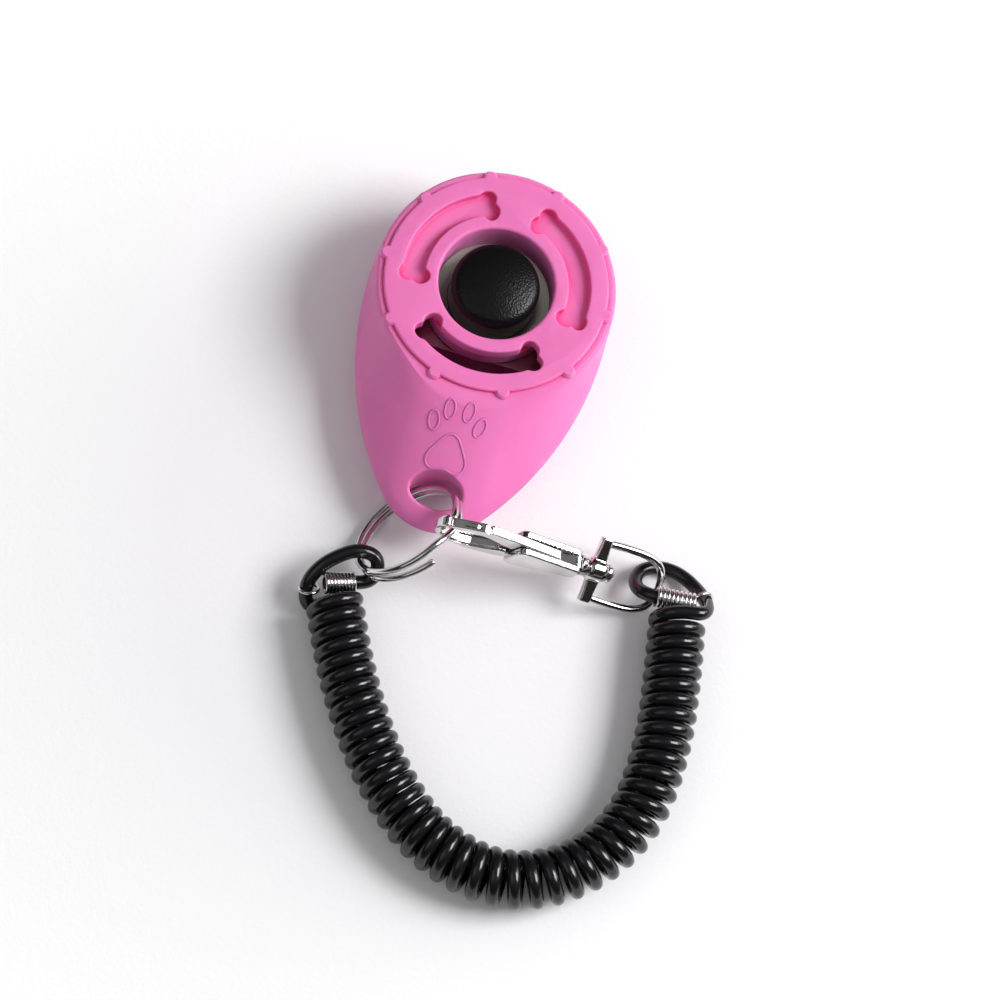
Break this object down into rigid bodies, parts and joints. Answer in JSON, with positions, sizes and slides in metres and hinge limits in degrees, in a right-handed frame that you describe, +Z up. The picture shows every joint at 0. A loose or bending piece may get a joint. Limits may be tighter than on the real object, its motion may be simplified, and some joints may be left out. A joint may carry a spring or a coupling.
{
  "type": "clicker trainer",
  "caption": "Egg-shaped dog-training clicker with a push button over a click plate, on a split ring with a trigger snap clasp and a coiled wrist lead",
  "frame": {"origin": "on the case's flat rest face, directly below the button's axis", "axes": "+Z up, out through the button; +Y to the case's round end; -Y to the key-ring hole and the wrist lead; +X to the right when looking along +Y"},
  "size_m": [0.0776, 0.1267, 0.0222],
  "materials": {
    "shell_pink": "satin moulded plastic with a fine spark-eroded grain",
    "button_black": "fine-grained moulded plastic",
    "spring_steel": "bright rolled spring steel",
    "plated_steel": "zinc plated",
    "nickel_wire": "nickel-plated polished wire",
    "nickel_cast": "nickel-plated polished casting",
    "cord_black": "glossy extruded flexible plastic cord"
  },
  "bodies": {
    "case": {"upper_shell": "shell_pink", "lower_shell": "shell_pink", "click_plate": "spring_steel", "plate_screws": "plated_steel", "case_screws": "plated_steel"},
    "button": {"button_cap": "button_black", "button_clip": "plated_steel"},
    "lead": {"split_ring": "nickel_wire", "clasp_body": "nickel_cast", "gate_pin": "plated_steel", "gate_spring": "spring_steel", "swivel_pin": "nickel_cast", "coil_cord": "cord_black", "cord_loop_left": "cord_black", "cord_loop_right": "cord_black", "wire_wrap_left": "nickel_wire", "wire_wrap_right": "nickel_wire", "binding_ring_left": "nickel_wire", "binding_ring_right": "nickel_wire"},
    "gate": {"clasp_gate": "nickel_cast"},
    "bail": {"swivel_bail": "nickel_cast"}
  },
  "joints": [
    {"name": "button_press", "type": "slide", "parent": "case", "child": "button", "axis": [0, 0, -1], "range_m": [0, 0.0018], "stiffness_N_per_m": 1500, "deforming": ["click_plate"]},
    {"name": "ring_swing", "type": "hinge", "parent": "case", "child": "lead", "pos_m": [0, -0.03725, 0.008], "axis": [0, 0, 1], "range_deg": [-8, 8]},
    {"name": "gate_open", "type": "hinge", "parent": "lead", "child": "gate", "pos_m": [0.0183, -0.04336, 0.01373], "axis": [0.1132, -0.9936, 0], "range_deg": [0, 8], "stiffness_Nm_per_rad": 0.05},
    {"name": "bail_swivel", "type": "hinge", "parent": "lead", "child": "bail", "pos_m": [0.03077, -0.04194, 0.00823], "axis": [0.9186, 0.1047, -0.3811], "range_deg": [0, 50]}
  ]
}
